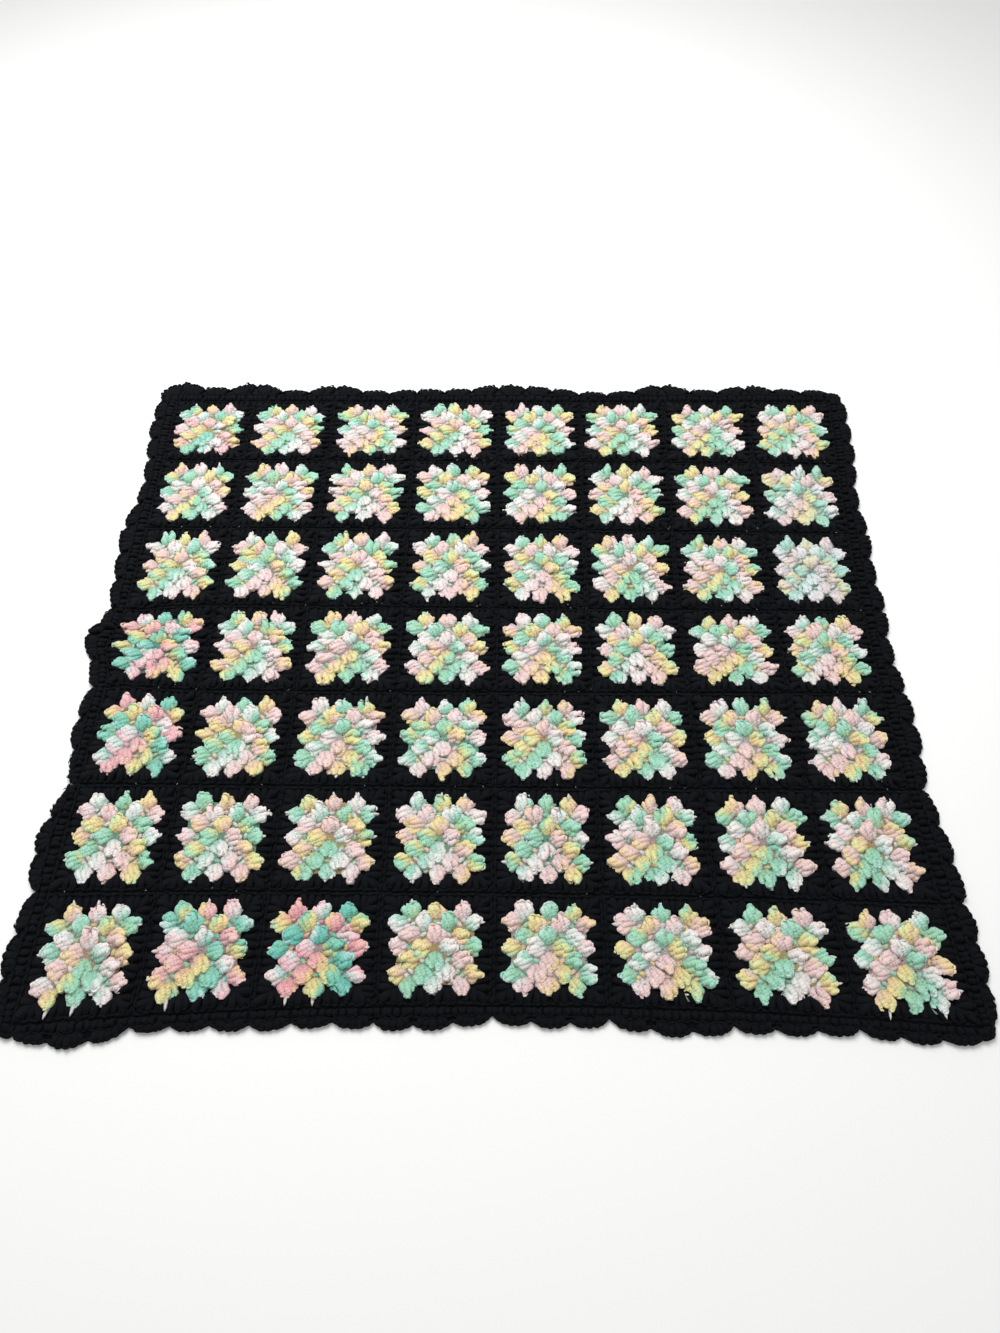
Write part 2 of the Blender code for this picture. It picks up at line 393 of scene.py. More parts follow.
def addTopLoop(mesh, uvLayer, alongLayer, sizes):
    # the loop that lies across the head of a stitch, widest in the middle
    reach = sizes["loopReach"]
    bend = reach * topLoop["bend"]
    low = topLoop["ends"]
    high = topLoop["middle"]
    path = ((-reach, *low), (-bend, *high), (bend, *high), (reach, *low))
    radius = sizes["loopRadius"]
    sides = sizes["loopSides"]
    rings = []
    for number, place in enumerate(path):
        thick = radius * (topLoop["endThickness"] if number in (0, 3) else 1.0)
        ring = []
        for step in range(sides):
            angle = 2 * math.pi * (step + 0.5) / sides
            offset = Vector((0, math.cos(angle) * thick * topLoop["flatness"], math.sin(angle) * thick))
            point = mesh.verts.new(Vector(place) + offset)
            point[alongLayer] = 1.0
            ring.append(point)
        rings.append(ring)
    joinRings(mesh, uvLayer, rings, [number * topLoop["plies"] for number in range(len(path))])
    mesh.faces.new(rings[0])
    mesh.faces.new(list(reversed(rings[-1])))


def buildLink(sizes):
    def build(mesh, uvLayer, alongLayer):
        centres = [Vector((0, station - 0.5, 0)) for station in sizes["stations"]]
        addTube(mesh, uvLayer, alongLayer, centres, sizes)

    return build


def makeShapes():
    kinds = bpy.data.collections.new("stitchShapes")
    bpy.context.scene.collection.children.link(kinds)
    number = 0
    for startTurn in trebleShape["startTurns"]:
        for bend in trebleShape["sideways"]:
            kinds.objects.link(makeShape(f"kind{number:02}_treble", buildTreble(trebleShape, bend, startTurn)))
            number += 1
    for bend in blackTreble["sideways"]:
        kinds.objects.link(makeShape(f"kind{number:02}_blackTreble", buildTreble(blackTreble, bend)))
        number += 1
    kinds.objects.link(makeShape(f"kind{number:02}_link", buildLink(linkShape)))
    return kinds


stitchShapes = makeShapes()
blackKind = 6  # the first of the black posts
linkKind = 9
backingKind = 10


# yarn materials
yarnFinish = {
    "twist": 3.0,  # plies across the yarn
    "plyDepth": 0.35,
    "fuzzScale": 900.0,
    "fuzzDepth": 0.45,
    "roughness": 0.88,
    "sheen": 0.42,
    "paintedGrooveShade": 0.30,  # painted shade: how much darker the grooves of the twist are painted
    "footShade": 0.36,  # painted shade: how much darker a stitch is painted towards its foot
    "paintedHoleShade": 0.55,  # painted shade: how much darker the small holes between the strands are painted
    "mottle": 0.55,  # how much the fuzz lightens and darkens the dye
    "shadeSaturation": 0.4,  # how much more saturated the colour is painted where painted shade falls, as in the grooves
    # how far the painted shade darkens the colour
    "shadeStrength": 0.92,
    "softness": 0.30,  # how much light the wool lets through
    "softDepth": 0.0025,
    "bump": 0.8,
    "bumpDistance": 0.0012,
    "slant": 1.9,  # plies along the yarn to one round it
    "sheenRoughness": 0.5,
    "gloss": 0.25,
    "glow": (1.0, 0.9, 0.8),  # how far each colour of light spreads in the wool
    "blotchScale": 110.0,
    "blotchShift": 0.12,  # how far a blotch moves the dye along its repeat
    "dyeGrowth": 0.13,  # how far the dye moves on along a stitch
    "unbroken": 0.30,  # fuzz below this leaves a groove without painted shade
    "breaking": 2.2,
    "footCurve": 2.2,
    "speckScale": 190.0,
    "speckReach": 0.24,
    "speckEdge": 6.0,
    "paling": -0.35,
    "paleDye": (0.66, 0.80, 0.86, 1.0),
    "whiteDye": (0.76, 0.74, 0.70, 1.0),
}
pastelDyes = (  # place along one repeat of the dyed yarn, colour of the plain lot, of the bright lot
    (0.00, (0.93, 0.88, 0.84), (0.92, 0.78, 0.78)),
    (0.10, (0.94, 0.83, 0.81), (0.93, 0.58, 0.62)),
    (0.17, (0.94, 0.70, 0.69), (0.93, 0.40, 0.47)),
    (0.31, (0.94, 0.69, 0.64), (0.94, 0.49, 0.48)),
    (0.38, (0.94, 0.69, 0.45), (0.93, 0.58, 0.38)),
    (0.46, (0.94, 0.77, 0.38), (0.93, 0.75, 0.35)),
    (0.56, (0.81, 0.83, 0.41), (0.73, 0.79, 0.38)),
    (0.63, (0.41, 0.75, 0.52), (0.22, 0.63, 0.47)),
    (0.82, (0.41, 0.77, 0.61), (0.17, 0.61, 0.53)),
    (0.90, (0.74, 0.87, 0.80), (0.50, 0.79, 0.73)),
    (1.00, (0.93, 0.90, 0.86), (0.88, 0.84, 0.82)),
)
blackYarn = {
    # random patch tone of the black yarn plus painted light: darker in the grooves between the plies, lighter
    # on their crests
    "darkerPatchAndGrooveShade": (0.0018, 0.0023, 0.0036, 1.0),
    "lighterPatchAndLitCrest": (0.0072, 0.0084, 0.0120, 1.0),
    "sheen": 0.010,
    "gloss": 0.12,
    "patchScale": 420.0,
}


def link(tree, source, target):
    tree.links.new(source, target)


def mathNode(tree, operation, first, second=None, clamp=False):
    node = tree.nodes.new("ShaderNodeMath")
    node.operation = operation
    node.use_clamp = clamp
    for index, value in enumerate((first, second)):
        if value is None:
            continue
        if isinstance(value, (int, float)):
            node.inputs[index].default_value = value
        else:
            link(tree, value, node.inputs[index])
    return node.outputs[0]


def makeTwistGroup():
    # plies wound round the yarn and a fuzz over them, as a height and a shade
    tree = bpy.data.node_groups.new("yarnTwist", "ShaderNodeTree")
    for label, kind in (("UV", "NodeSocketVector"), ("Place", "NodeSocketVector")):
        tree.interface.new_socket(label, in_out="INPUT", socket_type=kind)
    for label in ("Plies", "Ply Depth", "Fuzz Scale", "Fuzz Depth"):
        tree.interface.new_socket(label, in_out="INPUT", socket_type="NodeSocketFloat")
    for label in ("Height", "Shade", "Fuzz"):
        tree.interface.new_socket(label, in_out="OUTPUT", socket_type="NodeSocketFloat")
    given = tree.nodes.new("NodeGroupInput")
    result = tree.nodes.new("NodeGroupOutput")
    parts = tree.nodes.new("ShaderNodeSeparateXYZ")
    link(tree, given.outputs["UV"], parts.inputs[0])
    around = mathNode(tree, "MULTIPLY", parts.outputs["X"], given.outputs["Plies"])
    along = mathNode(tree, "MULTIPLY", parts.outputs["Y"], yarnFinish["slant"])
    turned = mathNode(tree, "ADD", around, along)
    wave = mathNode(tree, "SINE", mathNode(tree, "MULTIPLY", turned, 2 * math.pi))
    ply = mathNode(tree, "ADD", mathNode(tree, "MULTIPLY", wave, 0.5), 0.5)
    fuzz = tree.nodes.new("ShaderNodeTexNoise")
    fuzz.inputs["Detail"].default_value = 4.0
    fuzz.inputs["Roughness"].default_value = 0.65
    link(tree, given.outputs["Place"], fuzz.inputs["Vector"])
    link(tree, given.outputs["Fuzz Scale"], fuzz.inputs["Scale"])
    plyPart = mathNode(tree, "MULTIPLY", ply, given.outputs["Ply Depth"])
    fuzzPart = mathNode(tree, "MULTIPLY", fuzz.outputs["Fac"], given.outputs["Fuzz Depth"])
    link(tree, mathNode(tree, "ADD", plyPart, fuzzPart), result.inputs["Height"])
    link(tree, ply, result.inputs["Shade"])
    link(tree, fuzz.outputs["Fac"], result.inputs["Fuzz"])
    return tree


twistGroup = makeTwistGroup()


def startYarn(name, sizes):
    material = bpy.data.materials.new(name)
    material.use_nodes = True
    tree = material.node_tree
    shader = tree.nodes["Principled BSDF"]
    shader.inputs["Roughness"].default_value = sizes["roughness"]
    shader.inputs["Sheen Weight"].default_value = sizes["sheen"]
    shader.inputs["Sheen Roughness"].default_value = sizes["sheenRoughness"]
    shader.inputs["Specular IOR Level"].default_value = sizes["gloss"]
    uv = tree.nodes.new("ShaderNodeUVMap")
    uv.uv_map = "yarnUV"
    place = tree.nodes.new("ShaderNodeTexCoord")
    twist = tree.nodes.new("ShaderNodeGroup")
    twist.node_tree = twistGroup
    twist.inputs["Plies"].default_value = sizes["twist"]
    twist.inputs["Ply Depth"].default_value = sizes["plyDepth"]
    twist.inputs["Fuzz Scale"].default_value = sizes["fuzzScale"]
    twist.inputs["Fuzz Depth"].default_value = sizes["fuzzDepth"]
    link(tree, uv.outputs["UV"], twist.inputs["UV"])
    link(tree, place.outputs["Object"], twist.inputs["Place"])
    bump = tree.nodes.new("ShaderNodeBump")
    bump.inputs["Strength"].default_value = sizes["bump"]
    bump.inputs["Distance"].default_value = sizes["bumpDistance"]
    link(tree, twist.outputs["Height"], bump.inputs["Height"])
    link(tree, bump.outputs["Normal"], shader.inputs["Normal"])
    return material, tree, shader, twist, place


def attribute(tree, name):
    node = tree.nodes.new("ShaderNodeAttribute")
    node.attribute_name = name
    return node.outputs["Fac"]


def mixed(tree, blend, factor, first, second):
    node = tree.nodes.new("ShaderNodeMix")
    node.data_type = "RGBA"
    node.blend_type = blend
    for socket, value in ((node.inputs[0], factor), (node.inputs[6], first), (node.inputs[7], second)):
        if isinstance(value, (int, float)) or isinstance(value, tuple):
            socket.default_value = value
        else:
            link(tree, value, socket)
    return node.outputs[2]


def dyeRamp(tree, column, position):
    ramp = tree.nodes.new("ShaderNodeValToRGB")
    ramp.color_ramp.interpolation = "LINEAR"
    stops = ramp.color_ramp.elements
    while len(stops) < len(pastelDyes):
        stops.new(0.5)
    for stop, dye in zip(stops, pastelDyes):
        stop.position = dye[0]
        stop.color = (*dye[column], 1.0)
    link(tree, position, ramp.inputs["Fac"])
    return ramp.outputs["Color"]


def dyedColour(tree, place):
    # the dye at its place along the repeat, which drifts along a stitch and in blotches
    blotch = tree.nodes.new("ShaderNodeTexNoise")
    blotch.inputs["Scale"].default_value = yarnFinish["blotchScale"]
    blotch.inputs["Detail"].default_value = 2.0
    link(tree, place.outputs["Object"], blotch.inputs["Vector"])
    centred = mathNode(tree, "SUBTRACT", blotch.outputs["Fac"], 0.5)
    wander = mathNode(tree, "MULTIPLY", centred, yarnFinish["blotchShift"])
    grown = mathNode(tree, "MULTIPLY", attribute(tree, "along"), yarnFinish["dyeGrowth"])
    drift = mathNode(tree, "ADD", wander, grown)
    position = mathNode(tree, "FRACT", mathNode(tree, "ADD", attribute(tree, "dye"), drift))
    brighter = mathNode(tree, "MAXIMUM", attribute(tree, "lot"), 0.0)
    colour = mixed(tree, "MIX", brighter, dyeRamp(tree, 1, position), dyeRamp(tree, 2, position))
    paler = mathNode(tree, "MINIMUM", attribute(tree, "lot"), 0.0)
    paleness = mathNode(tree, "MULTIPLY", paler, yarnFinish["paling"])
    colour = mixed(tree, "MIX", paleness, colour, yarnFinish["paleDye"])
    return mixed(tree, "MIX", attribute(tree, "whiteness"), colour, yarnFinish["whiteDye"])


def paintedShadeMask(tree, twist, place):
    # painted shade: how much darker the yarn is painted in its grooves, at a stitch's foot and in its small
    # holes, plus its shade attribute
    # painted shade in the grooves between the plies, only where the fuzz rises above the unbroken level
    hollow = mathNode(tree, "SUBTRACT", 1.0, twist.outputs["Shade"])
    fuzz = mathNode(tree, "SUBTRACT", twist.outputs["Fuzz"], yarnFinish["unbroken"])
    broken = mathNode(tree, "MULTIPLY", fuzz, yarnFinish["breaking"], True)
    hollow = mathNode(tree, "MULTIPLY", hollow, broken)
    hollow = mathNode(tree, "MULTIPLY", hollow, yarnFinish["paintedGrooveShade"])
    # painted shade at a stitch's foot
    foot = mathNode(tree, "SUBTRACT", 1.0, attribute(tree, "along"), True)
    foot = mathNode(tree, "POWER", foot, yarnFinish["footCurve"])
    foot = mathNode(tree, "MULTIPLY", foot, yarnFinish["footShade"])
    # painted shade: dark dots for the small holes between the strands
    holes = tree.nodes.new("ShaderNodeTexVoronoi")
    holes.inputs["Scale"].default_value = yarnFinish["speckScale"]
    link(tree, place.outputs["Object"], holes.inputs["Vector"])
    paintedHoleShade = mathNode(tree, "SUBTRACT", yarnFinish["speckReach"], holes.outputs["Distance"])
    paintedHoleShade = mathNode(tree, "MULTIPLY", paintedHoleShade, yarnFinish["speckEdge"], True)
    paintedHoleShade = mathNode(tree, "MULTIPLY", paintedHoleShade, yarnFinish["paintedHoleShade"])
    foot = mathNode(tree, "ADD", foot, paintedHoleShade)
    return mathNode(tree, "ADD", hollow, mathNode(tree, "ADD", foot, attribute(tree, "shade")))


def makePastelYarn():
    material, tree, shader, twist, place = startYarn("pastelYarn", yarnFinish)
    shader.inputs["Subsurface Weight"].default_value = yarnFinish["softness"]
    shader.inputs["Subsurface Scale"].default_value = yarnFinish["softDepth"]
    shader.inputs["Subsurface Radius"].default_value = yarnFinish["glow"]
    shadeMask = paintedShadeMask(tree, twist, place)
    # painted shade: the colour grows richer where shade is painted
    saturatedInShade = tree.nodes.new("ShaderNodeGamma")
    link(tree, dyedColour(tree, place), saturatedInShade.inputs["Color"])
    shadeSaturation = mathNode(tree, "MULTIPLY", shadeMask, yarnFinish["shadeSaturation"])
    link(tree, mathNode(tree, "ADD", shadeSaturation, 1.0), saturatedInShade.inputs["Gamma"])
    # painted shade darkens the colour by this much
    paintedShadeAmount = mathNode(tree, "MULTIPLY", shadeMask, yarnFinish["shadeStrength"])
    light = mathNode(tree, "SUBTRACT", 1.0, paintedShadeAmount, True)
    centred = mathNode(tree, "SUBTRACT", twist.outputs["Fuzz"], 0.5)
    uneven = mathNode(tree, "MULTIPLY", centred, yarnFinish["mottle"])
    light = mathNode(tree, "ADD", light, uneven, True)
    shade = tree.nodes.new("ShaderNodeCombineColor")
    for socket in shade.inputs:
        link(tree, light, socket)
    colour = mixed(tree, "MULTIPLY", 1.0, saturatedInShade.outputs[0], shade.outputs[0])
    link(tree, colour, shader.inputs["Base Color"])
    return material


def makeBlackYarn():
    material, tree, shader, twist, place = startYarn("blackYarn", yarnFinish)
    shader.inputs["Sheen Weight"].default_value = blackYarn["sheen"]
    shader.inputs["Specular IOR Level"].default_value = blackYarn["gloss"]
    patches = tree.nodes.new("ShaderNodeTexNoise")
    patches.inputs["Scale"].default_value = blackYarn["patchScale"]
    patches.inputs["Detail"].default_value = 3.0
    link(tree, place.outputs["Object"], patches.inputs["Vector"])
    # painted shade and highlight: the patch noise times the ply crests, so grooves are painted darker and
    # crests lighter
    mask = mathNode(tree, "MULTIPLY", patches.outputs["Fac"], twist.outputs["Shade"], True)
    link(tree, mixed(tree, "MIX", mask, blackYarn["darkerPatchAndGrooveShade"], blackYarn["lighterPatchAndLitCrest"]), shader.inputs["Base Color"])
    return material


pastelMaterial = makePastelYarn()
blackMaterial = makeBlackYarn()
print("yarn materials ready")


# the node tree that works the stitches, and the points that it reads
workSettings = {
    "tilt": 0.13,  # how far a stitch may turn out of line, in radians
    "unevenness": 0.11,  # share by which its size varies
}
layingLabels = (("turn", "FLOAT_VECTOR"), ("span", "FLOAT_VECTOR"), ("kind", "INT"))
dyeLabels = (("dye", "FLOAT"), ("lot", "FLOAT"), ("whiteness", "FLOAT"), ("shade", "FLOAT"))


def shownSocket(sockets, name=None):
    for socket in sockets:
        if socket.enabled and (name is None or socket.name == name):
            return socket


def makeWorkTree():
    tree = bpy.data.node_groups.new("crochetWork", "GeometryNodeTree")
    tree.is_modifier = True
    identifiers = {}
    for label, kind in (
        ("Points", "NodeSocketGeometry"),
        ("Stitches", "NodeSocketCollection"),
        ("Yarn", "NodeSocketMaterial"),
        ("Tilt", "NodeSocketFloat"),
        ("Unevenness", "NodeSocketFloat"),
        ("Seed", "NodeSocketInt"),
    ):
        socket = tree.interface.new_socket(label, in_out="INPUT", socket_type=kind)
        identifiers[label] = socket.identifier
    tree.interface.new_socket("Work", in_out="OUTPUT", socket_type="NodeSocketGeometry")
    given = tree.nodes.new("NodeGroupInput")
    result = tree.nodes.new("NodeGroupOutput")
    stored = {}
    for label, kind in layingLabels:
        node = tree.nodes.new("GeometryNodeInputNamedAttribute")
        node.data_type = kind
        node.inputs["Name"].default_value = label
        stored[label] = shownSocket(node.outputs)
    shapes = tree.nodes.new("GeometryNodeCollectionInfo")
    shapes.inputs["Separate Children"].default_value = True
    shapes.inputs["Reset Children"].default_value = True
    link(tree, given.outputs["Stitches"], shapes.inputs["Collection"])
    setOut = tree.nodes.new("GeometryNodeInstanceOnPoints")
    setOut.inputs["Pick Instance"].default_value = True
    link(tree, given.outputs["Points"], setOut.inputs["Points"])
    link(tree, shapes.outputs[0], setOut.inputs["Instance"])
    link(tree, stored["kind"], setOut.inputs["Instance Index"])
    link(tree, stored["turn"], setOut.inputs["Rotation"])
    link(tree, stored["span"], setOut.inputs["Scale"])
    loose = tree.nodes.new("FunctionNodeCompare")
    loose.data_type = "INT"
    loose.operation = "LESS_THAN"
    link(tree, stored["kind"], shownSocket(loose.inputs, "A"))
    shownSocket(loose.inputs, "B").default_value = backingKind
    tilted = tree.nodes.new("GeometryNodeRotateInstances")
    link(tree, loose.outputs[0], tilted.inputs["Selection"])
    link(tree, setOut.outputs[0], tilted.inputs["Instances"])
    link(tree, randomVector(tree, given, "Tilt", 0.0, 0), tilted.inputs["Rotation"])
    uneven = tree.nodes.new("GeometryNodeScaleInstances")
    link(tree, tilted.outputs[0], uneven.inputs["Instances"])
    link(tree, randomVector(tree, given, "Unevenness", 1.0, 1), uneven.inputs["Scale"])
    real = tree.nodes.new("GeometryNodeRealizeInstances")
    link(tree, uneven.outputs[0], real.inputs[0])
    dressed = tree.nodes.new("GeometryNodeSetMaterial")
    link(tree, real.outputs[0], dressed.inputs["Geometry"])
    link(tree, given.outputs["Yarn"], dressed.inputs["Material"])
    link(tree, dressed.outputs[0], result.inputs[0])
    return tree, identifiers


def randomVector(tree, given, label, middle, seedStep):
    # a vector that lies up to the named input's value round the middle
    spread = []
    for sign in (-1.0, 1.0):
        amount = mathNode(tree, "MULTIPLY", given.outputs[label], sign)
        level = mathNode(tree, "ADD", amount, middle)
        joined = tree.nodes.new("ShaderNodeCombineXYZ")
        for socket in joined.inputs:
            link(tree, level, socket)
        spread.append(joined.outputs[0])
    node = tree.nodes.new("FunctionNodeRandomValue")
    node.data_type = "FLOAT_VECTOR"
    link(tree, spread[0], shownSocket(node.inputs, "Min"))
    link(tree, spread[1], shownSocket(node.inputs, "Max"))
    seed = mathNode(tree, "ADD", given.outputs["Seed"], seedStep)
    link(tree, seed, shownSocket(node.inputs, "Seed"))
    return shownSocket(node.outputs)


workTree, workInputs = makeWorkTree()
luck = random.Random(11)


def stitch(base, tip, width, height, kind=0, dye=0.0, lot=0.0, whiteness=0.0, shade=0.0):
    # a post that stands at base and reaches to tip
    way = tip - base
    turn = (math.asin(max(-1.0, min(1.0, way.z / way.length))), 0.0, math.atan2(-way.x, way.y))
    return {
        "place": base,
        "turn": turn,
        "span": (width, way.length, height),
        "kind": kind,
        "dye": dye,
        "lot": lot,
        "whiteness": whiteness,
        "shade": shade,
    }


def chainLink(start, end, width, height, **colours):
    made = stitch(start, end, width, height, linkKind, **colours)
    made["place"] = (start + end) / 2
    return made


def raised(flat, height):
    return Vector((flat.x, flat.y, height))


def lowered(flat, depth, least=0.0):
    # a point below the CAD top, but no lower than the least height
    return raised(flat, max(topAt(flat) - depth, least))


def makeWork(name, stitches, material, seed, looseness=1.0):
    points = bpy.data.meshes.new(name)
    points.from_pydata([made["place"] for made in stitches], [], [])
    for label, kind in layingLabels + dyeLabels:
        stored = points.attributes.new(label, kind, "POINT")
        if kind == "FLOAT_VECTOR":
            stored.data.foreach_set("vector", [value for made in stitches for value in made[label]])
        else:
            stored.data.foreach_set("value", [made[label] for made in stitches])
    work = placed(name, points)
    modifier = work.modifiers.new("crochetWork", "NODES")
    modifier.node_group = workTree
    modifier[workInputs["Stitches"]] = stitchShapes
    modifier[workInputs["Yarn"]] = material
    modifier[workInputs["Tilt"]] = workSettings["tilt"] * looseness
    modifier[workInputs["Unevenness"]] = workSettings["unevenness"] * looseness
    modifier[workInputs["Seed"]] = seed
    plainMesh(work)
    for vertex in work.data.vertices:
        vertex.co.z = max(vertex.co.z, 0.0)
    for label, kind in layingLabels:
        if label in work.data.attributes:
            work.data.attributes.remove(work.data.attributes[label])
    return work


def plainMesh(thing):
    # turns what the modifiers show into the object's own mesh
    scene = bpy.context.evaluated_depsgraph_get()
    shown = thing.evaluated_get(scene)
    made = bpy.data.meshes.new_from_object(shown, preserve_all_data_layers=True, depsgraph=scene)
    thing.modifiers.clear()
    old = thing.data
    made.name = thing.name
    thing.data = made
    bpy.data.meshes.remove(old)


def finishPiece(thing, slot, *replaced):
    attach(thing, "root")
    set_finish(thing, slot)
    if replaced:
        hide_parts(*replaced)


# the pastel rounds of each square
medallion = {
    "clusterPitch": 0.0280,
    "rounds": (  # clusters along a side, where they start and end
        (1, 0.0030, 0.0254),
        (2, 0.0165, 0.0394),
        (3, 0.0302, 0.0524),
    ),
    "cornerGather": 0.97,  # how far a corner cluster's foot is drawn in to the middle of its side
    "footSpread": 0.0034,
    "headSpreads": (0.0042, 0.0043, 0.0042),  # of each round
    "outerDrop": 0.0014,  # how much lower a cluster's outer posts lie
    "shorterSides": 0.0014,  # a cluster's outer posts end this much short of its middle one
    "stitchWidth": 0.0120,
    "stitchHeight": 0.0066,
    "widthSpread": (0.90, 1.10),
    "footDepth": 0.0030,  # below the CAD top
    "footLeast": 0.0020,
    "headDepth": 0.0018,
    "lean": 0.0024,
    "shift": 0.0013,
    "longer": (-0.0014, 0.0012),
    "ringRadius": 0.0030,
    "ringLinks": 5,
    "ringOverlap": 1.25,
    "ringDepth": 0.0030,
    "ringYarn": 0.0034,
    "clustersPerDye": 4.1,
    "dyeDrift": 0.22,
    "dyePerPost": 0.062,
    "dyeSpread": 0.025,
    "backingRadius": 0.0420,
    "backingDepth": 0.0023,
    "backingHeight": 0.0014,
    "backingShade": 0.28,
    "probe": 0.02,  # how far from the middle the square's turn is measured
    "looseness": 1.1,
}
chains = {  # short chains over the holes amid four clusters
    "half": 0.0046,
    "sideOut": 0.0284,
    "sideDepth": 0.0024,
    "sideYarn": (0.0066, 0.0044),
    "sideShade": 0.2,
    "cornerOuts": (0.0142, 0.0258, 0.0304),
    "cornerSlant": 0.7,
    "cornerDepth": 0.0022,
    "cornerYarn": (0.0064, 0.0044),
    "cornerShade": 0.12,
    "dyeSpread": 0.5,
    "cornerDye": 0.2,
}
paleTips = {  # the pulled loops at the heads of outer clusters
    "share": 0.35,
    "length": 0.0016,
    "nearShare": 0.45,  # on the side beside the near edging
    "nearLength": 0.0085,
    "lengthSpread": (0.5, 1.3),
    "sideways": 0.2,
    "start": 0.0060,  # inwards from the cluster's head
    "startDepth": 0.0020,
    "endRise": 0.0014,
    "endLeast": 0.0040,
    "yarn": (0.0046, 0.0036),
    "dye": 0.03,
    "whiteness": 0.75,
}
backingShape = {
    "sides": 16,
    "levels": ((1.0, -0.5), (1.0, 0.1), (0.9, 0.5)),  # radius and height
    "cut": 0.12,
}


def lotOf(row, column):
    return patchwork["lots"].get((row, column), 0.0)


def widthHere(square, side, along, out):
    # how much the laid square is squeezed along this side
    step = 0.003
    low = square.onPattern(side, along - step, out)
    high = square.onPattern(side, along + step, out)
    return (high - low).length / (2 * step)


def pastelCluster(square, side, along, roundNumber, phase, lot):
    # three posts that are drawn together at both ends, as plump as a bead
    made = []
    sizes = medallion
    footOut, headOut = sizes["rounds"][roundNumber][1:]
    lean = luck.uniform(-1, 1) * sizes["lean"]
    shift = luck.uniform(-1, 1) * sizes["shift"]
    longer = luck.uniform(*sizes["longer"])
    squeeze = widthHere(square, side, along, headOut)
    strandStart = 3 * luck.randrange(2)
    for place in (-1, 0, 1):
        shorter = abs(place) * sizes["shorterSides"]
        footAlong = along * sizes["cornerGather"] + shift + place * sizes["footSpread"]
        foot = square.onPattern(side, footAlong, footOut + shorter)
        headAlong = along + lean + place * sizes["headSpreads"][roundNumber]
        head = square.onPattern(side, headAlong, headOut + longer - shorter)
        drop = abs(place) * sizes["outerDrop"]
        bottom = lowered(foot, sizes["footDepth"] + drop, sizes["footLeast"])
        top = lowered(head, sizes["headDepth"] + drop)
        width = sizes["stitchWidth"] * squeeze * luck.uniform(*sizes["widthSpread"])
        drift = luck.uniform(-sizes["dyeSpread"], sizes["dyeSpread"])
        dye = phase + place * sizes["dyePerPost"] + drift
        kind = 1 - place + strandStart
        made.append(stitch(bottom, top, width, sizes["stitchHeight"], kind, dye, lot))
    return made


def paleTip(square, side, along, length, lot):
    headOut = medallion["rounds"][2][2]
    start = square.onPattern(side, along, headOut - paleTips["start"])
    sideways = luck.uniform(-1, 1) * length * paleTips["sideways"]
    end = square.onPattern(side, along + sideways, headOut + length)
    low = lowered(start, paleTips["startDepth"])
    high = lowered(end, -paleTips["endRise"], paleTips["endLeast"])
    colours = {"dye": paleTips["dye"], "lot": lot, "whiteness": paleTips["whiteness"]}
    return chainLink(low, high, *paleTips["yarn"], **colours)


def fillingChains(square, phase, lot):
    made = []
    half = chains["half"]
    slant = half * chains["cornerSlant"]
    for side in range(4):
        dye = phase + luck.uniform(0.0, chains["dyeSpread"])
        ends = [square.onPattern(side, sign * half, chains["sideOut"]) for sign in (-1, 1)]
        low, high = [lowered(flat, chains["sideDepth"]) for flat in ends]
        colours = {"dye": dye, "lot": lot, "shade": chains["sideShade"]}
        made.append(chainLink(low, high, *chains["sideYarn"], **colours))
        colours = {"dye": dye + chains["cornerDye"], "lot": lot, "shade": chains["cornerShade"]}
        for out in chains["cornerOuts"]:
            ends = [square.onPattern(side, out - sign * slant, out + sign * slant) for sign in (-1, 1)]
            low, high = [lowered(flat, chains["cornerDepth"]) for flat in ends]
            made.append(chainLink(low, high, *chains["cornerYarn"], **colours))
    return made


def medallionStitches(row, column):
    square = laidSquares[(row, column)]
    lot = lotOf(row, column)
    phase = luck.random()
    period = medallion["clustersPerDye"] + luck.uniform(-1, 1) * medallion["dyeDrift"]
    made = []
    centre = square.at(0, 0)
    probe = medallion["probe"]
    turned = square.onPattern(0, probe, 0) - square.onPattern(0, -probe, 0)
    middle = lowered(centre, medallion["backingDepth"])
    ahead = middle + Vector((-turned.y, turned.x, 0))
    backing = stitch(middle, ahead, 1, 1, backingKind, phase, lot, shade=medallion["backingShade"])
    radius = medallion["backingRadius"]
    backing["span"] = (radius * turned.length / (2 * probe), radius, medallion["backingHeight"])
    made.append(backing)
    for step in range(medallion["ringLinks"]):
        angle = 2 * math.pi * step / medallion["ringLinks"]
        radius = medallion["ringRadius"]
        half = math.pi / medallion["ringLinks"] * medallion["ringOverlap"]
        start = square.at(math.cos(angle - half) * radius, math.sin(angle - half) * radius)
        end = square.at(math.cos(angle + half) * radius, math.sin(angle + half) * radius)
        height = topAt(centre) - medallion["ringDepth"]
        yarn = medallion["ringYarn"]
        made.append(chainLink(raised(start, height), raised(end, height), yarn, yarn, dye=phase, lot=lot))
    number = 0
    made.extend(fillingChains(square, phase, lot))
    for roundNumber, roundSizes in enumerate(medallion["rounds"]):
        clusters = roundSizes[0]
        for side in range(4):
            for step in range(clusters):
                along = (step - (clusters - 1) / 2) * medallion["clusterPitch"]
                number += 1
                dye = phase + number / period
                made.extend(pastelCluster(square, side, along, roundNumber, dye, lot))
                edge = row == patchwork["rows"] and side == 0
                if roundNumber == 2 and luck.random() < paleTips["nearShare" if edge else "share"]:
                    length = paleTips["nearLength" if edge else "length"]
                    length *= luck.uniform(*paleTips["lengthSpread"])
                    made.append(paleTip(square, side, along, length, lot))
    return made


